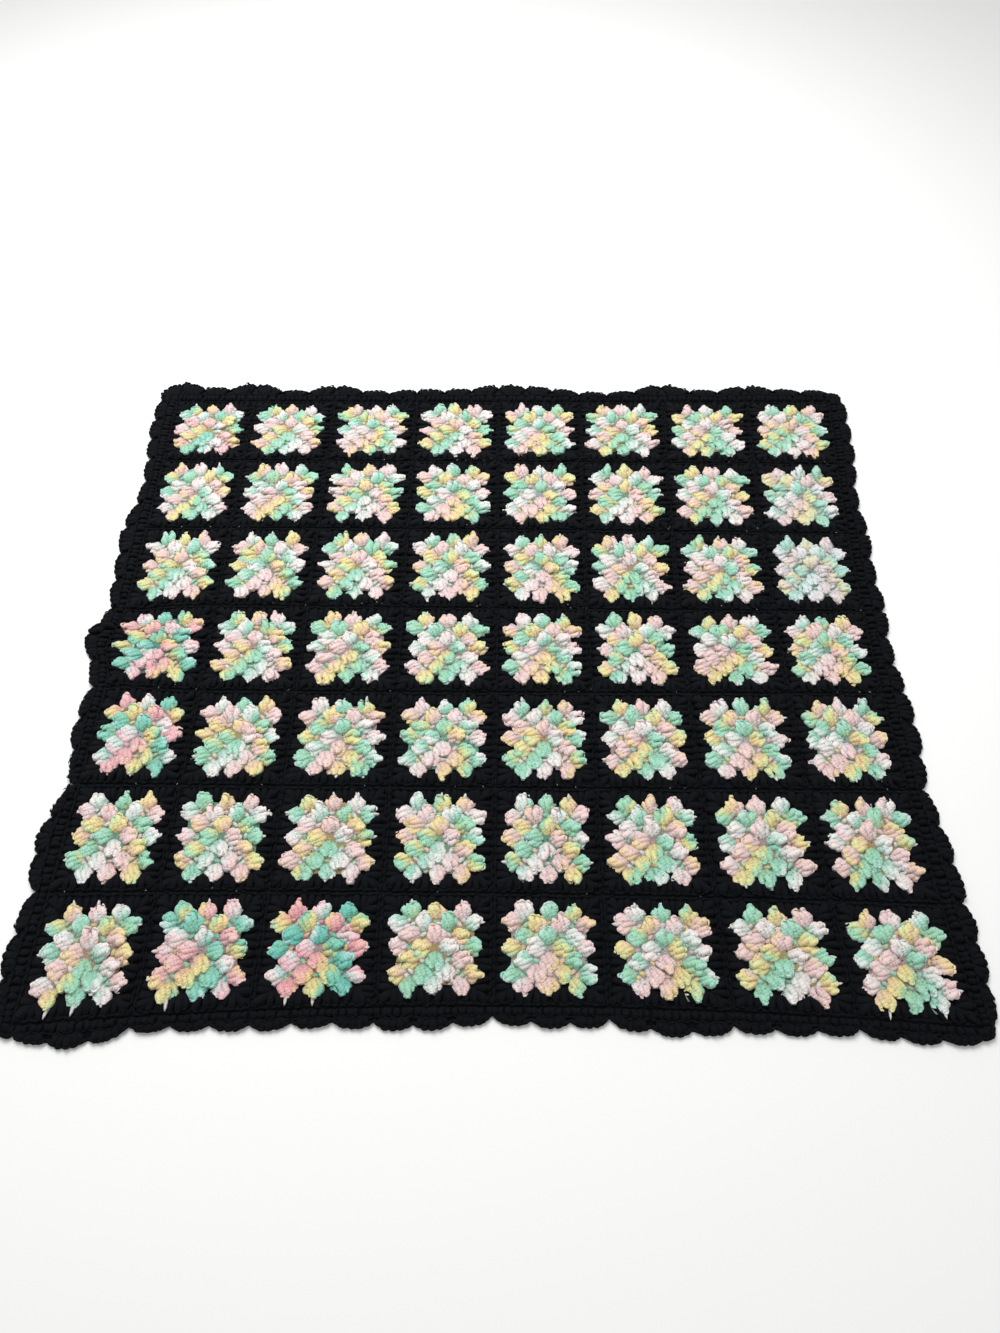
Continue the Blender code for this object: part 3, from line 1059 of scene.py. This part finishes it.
def makeBackingShape():
    # a low round cushion of yarn that closes the holes of the medallion from below
    sides = backingShape["sides"]

    def build(mesh, uvLayer, alongLayer):
        levels = []
        for radius, height in backingShape["levels"]:
            ring = []
            for step in range(sides):
                angle = 2 * math.pi * step / sides
                reach = radius * (1.0 + backingShape["cut"] * math.cos(4 * angle + math.pi))
                ring.append(mesh.verts.new((math.cos(angle) * reach, math.sin(angle) * reach, height)))
            levels.append(ring)
        for low, high in zip(levels, levels[1:]):
            for step in range(sides):
                after = (step + 1) % sides
                mesh.faces.new((low[step], low[after], high[after], high[step]))
        mesh.faces.new(list(reversed(levels[0])))
        mesh.faces.new(levels[-1])

    return makeShape(f"kind{backingKind}_backing", build)


stitchShapes.objects.link(makeBackingShape())
medallions = []
for rowNumber, columnNumber in laidSquares:
    name = f"medallion_r{rowNumber}c{columnNumber}"
    seed = rowNumber * 10 + columnNumber
    work = medallionStitches(rowNumber, columnNumber)
    piece = makeWork(name, work, pastelMaterial, seed, medallion["looseness"])
    finishPiece(piece, "pastel_yarn", squareName(rowNumber, columnNumber))
    medallions.append(piece)
print("medallions worked:", len(medallions))


# the black last round of each square, one piece for each row of squares
blackRound = {
    "footOut": 0.0430,
    "headOut": 0.0606,
    "footSpread": 0.0030,
    "headSpread": 0.0088,
    "cornerHeads": (0.0345, 0.0435, 0.0525),
    "cornerFoot": 0.0425,
    "cornerFootSpread": 0.0025,
    "cornerPost": (0.0465, 0.0590),  # foot and head of the post on the corner's diagonal
    "lean": 0.0012,
    "footDepth": 0.0036,  # below the CAD top
    "footLeast": 0.0022,
    "headDepth": 0.0008,
    "headLeast": 0.0026,
    "stitchWidth": 0.0086,
    "stitchHeight": 0.0048,
    "borderLinks": 14,
    "linkInset": (0.0026, 0.0018),  # of a link from a row seam, from a column seam
    "linkHeight": 0.0026,
    "linkDepth": 0.0040,
    "linkFollow": 0.9,  # how much of the CAD top's rise above that depth a link follows
    "linkOverlap": 0.08,
    "linkMargin": 0.003,
    "linkWander": 0.0010,
    "linkYarn": (0.0042, 0.0040),
}


def blackPost(square, side, foot, head, kind):
    # foot and head are places along the side and outwards
    sizes = blackRound
    bottom = lowered(square.onPattern(side, *foot), sizes["footDepth"], sizes["footLeast"])
    top = lowered(square.onPattern(side, *head), sizes["headDepth"], sizes["headLeast"])
    width = sizes["stitchWidth"] * widthHere(square, side, *head)
    return stitch(bottom, top, width, sizes["stitchHeight"], blackKind + kind)


def blackStitches(square):
    made = []
    sizes = blackRound
    pitch = medallion["clusterPitch"]
    footOut = sizes["footOut"]
    headOut = sizes["headOut"]
    for side in range(4):
        for along in (-pitch / 2, pitch / 2):
            lean = luck.uniform(-1, 1) * sizes["lean"]
            for place in (-1, 0, 1):
                foot = (along + place * sizes["footSpread"], footOut)
                head = (along + lean + place * sizes["headSpread"], headOut)
                made.append(blackPost(square, side, foot, head, 1 - place))
        for sign in (-1, 1):
            for place, headAlong in enumerate(sizes["cornerHeads"]):
                footAlong = sizes["cornerFoot"] + (place - 1) * sizes["cornerFootSpread"]
                foot = (sign * footAlong, footOut)
                kind = 2 - place if sign > 0 else place
                made.append(blackPost(square, side, foot, (sign * headAlong, headOut), kind))
        foot, head = sizes["cornerPost"]
        made.append(blackPost(square, side, (foot, foot), (head, head), 1))
        made.extend(borderLinks(square, side))
    return made


def borderLinks(square, side):
    made = []
    sizes = blackRound
    count = sizes["borderLinks"]
    overlap = sizes["linkOverlap"]
    for step in range(count):
        ends = []
        for share in (step - overlap, step + 1 + overlap):
            along = (share / count - 0.5) * (2 * halfSide - sizes["linkMargin"])
            inset = sizes["linkInset"][side % 2] + luck.uniform(-1, 1) * sizes["linkWander"]
            flat = square.onPattern(side, along, halfSide - inset)
            above = max(topAt(flat) - sizes["linkDepth"], 0.0) * sizes["linkFollow"]
            ends.append(raised(flat, sizes["linkHeight"] + above))
        made.append(chainLink(*ends, *sizes["linkYarn"]))
    return made


for rowNumber in range(1, patchwork["rows"] + 1):
    work = []
    replaced = []
    for columnNumber in range(1, patchwork["columns"] + 1):
        work.extend(blackStitches(laidSquares[(rowNumber, columnNumber)]))
        replaced.append(squareName(rowNumber, columnNumber))
    piece = makeWork(f"blackRound_row{rowNumber}", work, blackMaterial, 200 + rowNumber)
    finishPiece(piece, "black_yarn", *replaced)
print("black rounds worked")


# the edging: a first row of posts, then shells whose tips follow the CAD outline
edging = {
    "firstRowShare": 0.42,
    "firstRowLeast": 0.0090,
    "firstRowMost": 0.0135,
    "postsPerSquare": 18,
    "shellsPerSquare": 3,
    "postsPerShell": 5,
    "postWidth": 0.0078,
    "shellWidth": 0.0094,
    "postHeight": 0.0046,
    "linksPerSquare": 15,
    "headGather": 0.88,  # how far a shell's heads are drawn together, so that the notches stay open
    "rimInset": 0.0026,
    "notchInset": 0.0050,  # of the rim in the notch between two shells
    "cornerPosts": 7,
    "searchFrom": 0.20,  # how far out the outline is looked for
    "searchHeight": 0.0012,
    "usualReach": 0.030,
    "usualTop": 0.0030,
    "sink": 0.0014,  # below the CAD top
    "least": 0.0024,
    "rowFoot": 0.0012,
    "rowLinkOut": 0.001,
    "rowLinkWander": 0.0012,
    "rowYarn": (0.0040, 0.0040),
    "footGather": 0.36,
    "shellFootOut": 0.0005,
    "shellFootSink": 0.0026,
    "tipInset": 0.0020,
    "tipLeast": 0.004,
    "rimWander": 0.0005,
    "rimYarn": (0.0056, 0.0040),
    "cornerFoot": 0.0008,
    "cornerWidth": 0.0046,
    "cornerShellFoot": 0.8,
    "cornerRimInset": 0.0022,
    "cornerYarn": (0.0042, 0.0038),
}


def borderRuns():
    # border sides in turn anticlockwise, from the near left corner
    rows = patchwork["rows"]
    columns = patchwork["columns"]
    runs = []
    runs.append([(laidSquares[(rows, column)], 0) for column in range(1, columns + 1)])
    runs.append([(laidSquares[(row, columns)], 1) for row in range(rows, 0, -1)])
    runs.append([(laidSquares[(1, column)], 2) for column in range(columns, 0, -1)])
    runs.append([(laidSquares[(row, 1)], 3) for row in range(1, rows + 1)])
    return runs


def outward(square, side):
    way = square.onSide(side, 0.95) - square.onSide(side, 0.05)
    return Vector((way.y, -way.x)).normalized()


def reachFrom(point, direction):
    start = point + direction * edging["searchFrom"]
    origin = raised(start, edging["searchHeight"])
    hit = edgingSurface.ray_cast(origin, Vector((-direction.x, -direction.y, 0)))[0]
    if hit is None:
        return edging["usualReach"]
    return (Vector((hit.x, hit.y)) - point).dot(direction)


def firstRowOut(reach):
    wanted = reach * edging["firstRowShare"]
    return min(max(wanted, edging["firstRowLeast"]), edging["firstRowMost"])


class BorderPlace:
    # a place on the border of the patchwork with the way out and the room there
    def __init__(self, point, direction):
        self.point = point
        self.direction = direction
        self.reach = reachFrom(point, direction)
        self.rowOut = firstRowOut(self.reach)

    def out(self, distance, sink=edging["sink"]):
        flat = self.point + self.direction * distance
        return raised(flat, max(topAt(flat, edging["usualTop"]) - sink, edging["least"]))

    def tip(self):
        return self.out(max(self.reach - edging["tipInset"], self.rowOut + edging["tipLeast"]))


def alongBorder(square, side, share, direction):
    return BorderPlace(square.onSide(side, share), direction)


def edgingStitches():
    made = []
    runs = borderRuns()
    normals = [[outward(square, side) for square, side in run] for run in runs]
    for run, ways in zip(runs, normals):
        for number, (square, side) in enumerate(run):
            way = ways[number]
            made.extend(firstRow(square, side, way))
            for shell in range(edging["shellsPerSquare"]):
                made.extend(shellStitches(square, side, way, (shell + 0.5) / edging["shellsPerSquare"]))
            made.extend(rimLinks(square, side, way))
    for number, run in enumerate(runs):
        square, side = run[-1]
        before = normals[number][-1]
        after = normals[(number + 1) % 4][0]
        made.extend(cornerStitches(square.onSide(side, 1.0), before, after))
    return made


def firstRow(square, side, way):
    made = []
    count = edging["postsPerSquare"]
    for step in range(count):
        place = alongBorder(square, side, (step + 0.5) / count, way)
        foot = place.out(edging["rowFoot"])
        kind = blackKind + luck.randrange(3)
        made.append(stitch(foot, place.out(place.rowOut), edging["postWidth"], edging["postHeight"], kind))
    count = edging["linksPerSquare"]
    for step in range(count):
        start = alongBorder(square, side, (step - 0.05) / count, way)
        end = alongBorder(square, side, (step + 1.05) / count, way)
        ends = []
        for place in (start, end):
            wander = luck.uniform(-1, 1) * edging["rowLinkWander"]
            ends.append(place.out(place.rowOut + edging["rowLinkOut"] + wander))
        made.append(chainLink(*ends, *edging["rowYarn"]))
    return made


def shellStitches(square, side, way, middle):
    made = []
    half = (edging["postsPerShell"] - 1) / 2
    spacing = 1 / (edging["shellsPerSquare"] * edging["postsPerShell"])
    for step in range(edging["postsPerShell"]):
        place = step - half
        foot = alongBorder(square, side, middle + place * spacing * edging["footGather"], way)
        head = alongBorder(square, side, middle + place * spacing * edging["headGather"], way)
        bottom = foot.out(foot.rowOut + edging["shellFootOut"], edging["shellFootSink"])
        kind = blackKind + (1 if place == 0 else (2 if place < 0 else 0))
        made.append(stitch(bottom, head.tip(), edging["shellWidth"], edging["postHeight"], kind))
    return made


def rimLinks(square, side, way):
    made = []
    count = edging["linksPerSquare"]
    perShell = count // edging["shellsPerSquare"]
    for step in range(count):
        ends = []
        for whole in (step, step + 1):
            place = alongBorder(square, side, whole / count, way)
            inset = edging["rimInset"] if whole % perShell else edging["notchInset"]
            inset += luck.uniform(0, 1) * edging["rimWander"]
            ends.append(place.out(place.reach - inset))
        made.append(chainLink(*ends, *edging["rimYarn"]))
    return made


def cornerStitches(corner, before, after):
    made = []
    count = edging["cornerPosts"]
    places = []
    for step in range(count + 1):
        way = before.lerp(after, step / count).normalized()
        places.append(BorderPlace(corner, way))
    for low, high in zip(places, places[1:]):
        place = BorderPlace(corner, (low.direction + high.direction).normalized())
        upright = blackKind + 1
        foot = place.out(edging["cornerFoot"])
        height = edging["postHeight"]
        made.append(stitch(foot, place.out(place.rowOut), edging["cornerWidth"], height, upright))
        bottom = place.out(place.rowOut * edging["cornerShellFoot"], edging["shellFootSink"])
        made.append(stitch(bottom, place.tip(), edging["shellWidth"], height, upright))
        ends = [spot.out(spot.reach - edging["cornerRimInset"]) for spot in (low, high)]
        made.append(chainLink(*ends, *edging["cornerYarn"]))
    return made


edgingPiece = makeWork("edgingShells", edgingStitches(), blackMaterial, 300, 0.7)
finishPiece(edgingPiece, "black_yarn", "edging")
print("edging worked")


# whip stitches that join the squares, and the odd end of white yarn at a crossing
joining = {
    "perSide": 10,
    "length": 0.0070,
    "level": 0.0030,  # height above the ground
    "yarn": (0.0024, 0.0022),
    "slant": 0.0022,
}
whiteSpecks = {  # short ends of white yarn, held in the stitches
    "number": 70,
    "crossingSpread": 0.035,  # how far along a seam from a crossing they lie
    "offSeam": 0.006,
    "halfLengths": (0.0006, 0.0015),
    "rise": 0.0016,
    "yarn": (0.0010, 0.0009),
    "shades": (0.10, 0.75),
}


def joiningStitches():
    made = []
    for (row, column), square in laidSquares.items():
        sides = []
        if row < patchwork["rows"]:
            sides.append(0)
        if column < patchwork["columns"]:
            sides.append(1)
        for side in sides:
            for step in range(joining["perSide"]):
                along = ((step + 0.5) / joining["perSide"] - 0.5) * 2 * halfSide
                inner = square.onPattern(side, along - joining["slant"], halfSide - joining["length"] / 2)
                outer = square.onPattern(side, along + joining["slant"], halfSide + joining["length"] / 2)
                ends = [raised(flat, joining["level"]) for flat in (inner, outer)]
                made.append(chainLink(*ends, *joining["yarn"]))
    return made


def whiteEndStitches():
    made = []
    places = [key for key in laidSquares if key[0] < patchwork["rows"]]
    for key in luck.choices(places, k=whiteSpecks["number"]):
        x = halfSide - abs(luck.gauss(0, whiteSpecks["crossingSpread"]))
        off = luck.uniform(-whiteSpecks["offSeam"], whiteSpecks["offSeam"])
        flat = laidSquares[key].at(x, -halfSide + off)
        angle = luck.uniform(0, math.pi)
        half = Vector((math.cos(angle), math.sin(angle), 0)) * luck.uniform(*whiteSpecks["halfLengths"])
        place = raised(flat, topAt(flat) + whiteSpecks["rise"])
        greyness = luck.uniform(*whiteSpecks["shades"])
        ends = (place - half, place + half)
        made.append(chainLink(*ends, *whiteSpecks["yarn"], whiteness=1.0, shade=greyness))
    return made


joiningPiece = makeWork("joiningYarn", joiningStitches(), blackMaterial, 400)
finishPiece(joiningPiece, "black_yarn")
whiteEnds = makeWork("whiteYarnEnds", whiteEndStitches(), pastelMaterial, 500)
finishPiece(whiteEnds, "pastel_yarn")
print("squares joined")


# the thin cloth of yarn under the stitches, which closes every hole between them
groundCloth = {
    "steps": 12,  # to a square's side
    "depth": 0.0048,  # below the CAD top
    "least": 0.0016,
    "thickness": 0.0011,
    "inset": 0.0026,
    "mergeWithin": 0.0012,
    "shortest": 0.001,  # of an edge between two places on the border
}


def clothPoint(flat):
    return lowered(flat, groundCloth["depth"], groundCloth["least"])


def clothRim(place):
    return clothPoint(place.point + place.direction * (place.reach - groundCloth["inset"]))


def makeGroundCloth():
    mesh = bmesh.new()
    steps = groundCloth["steps"]
    for square in laidSquares.values():
        grid = []
        for down in range(steps + 1):
            line = []
            for across in range(steps + 1):
                x = (across / steps - 0.5) * 2 * halfSide
                y = (down / steps - 0.5) * 2 * halfSide
                line.append(mesh.verts.new(clothPoint(square.at(x, y))))
            grid.append(line)
        for low, high in zip(grid, grid[1:]):
            for across in range(steps):
                mesh.faces.new((low[across], low[across + 1], high[across + 1], high[across]))
    runs = borderRuns()
    normals = [[outward(square, side) for square, side in run] for run in runs]
    for number, run in enumerate(runs):
        outline = []
        for index, (square, side) in enumerate(run):
            for step in range(steps + 1):
                share = step / steps
                before = normals[number][max(index - 1, 0)]
                after = normals[number][min(index + 1, len(run) - 1)]
                way = normals[number][index]
                if step == 0:
                    way = (way + before).normalized()
                if step == steps:
                    way = (way + after).normalized()
                place = alongBorder(square, side, share, way)
                low = mesh.verts.new(clothPoint(place.point))
                high = mesh.verts.new(clothRim(place))
                outline.append((low, high))
        for (low, high), (lowAfter, highAfter) in zip(outline, outline[1:]):
            if (low.co - lowAfter.co).length > groundCloth["shortest"]:
                mesh.faces.new((low, high, highAfter, lowAfter))
        corner = run[-1][0].onSide(run[-1][1], 1.0)
        first = normals[number][-1]
        last = normals[(number + 1) % 4][0]
        fan = []
        for step in range(steps + 1):
            way = first.lerp(last, step / steps).normalized()
            fan.append(mesh.verts.new(clothRim(BorderPlace(corner, way))))
        middle = mesh.verts.new(clothPoint(corner))
        for low, high in zip(fan, fan[1:]):
            mesh.faces.new((middle, low, high))
    bmesh.ops.remove_doubles(mesh, verts=mesh.verts, dist=groundCloth["mergeWithin"])
    bmesh.ops.recalc_face_normals(mesh, faces=mesh.faces)
    for face in mesh.faces:
        face.smooth = True
    if sum(face.normal.z for face in mesh.faces) < 0:
        bmesh.ops.reverse_faces(mesh, faces=mesh.faces)
    area = sum(face.calc_area() for face in mesh.faces)
    data = bpy.data.meshes.new("groundCloth")
    mesh.to_mesh(data)
    mesh.free()
    cloth = placed("groundCloth", data)
    cloth.data.materials.append(blackMaterial)
    skin = cloth.modifiers.new("thickness", "SOLIDIFY")
    skin.thickness = groundCloth["thickness"]
    skin.offset = -1.0
    plainMesh(cloth)
    return cloth, area


cloth, clothArea = makeGroundCloth()
finishPiece(cloth, "black_yarn")
print("ground cloth laid, square metres:", round(clothArea, 3))

for shape in list(stitchShapes.objects):
    bpy.data.objects.remove(shape, do_unlink=True)
bpy.data.collections.remove(stitchShapes)

triangles = 0
for thing in bpy.data.objects:
    if thing.get("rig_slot"):
        triangles += sum(len(face.vertices) - 2 for face in thing.data.polygons)
print("triangles added:", triangles)
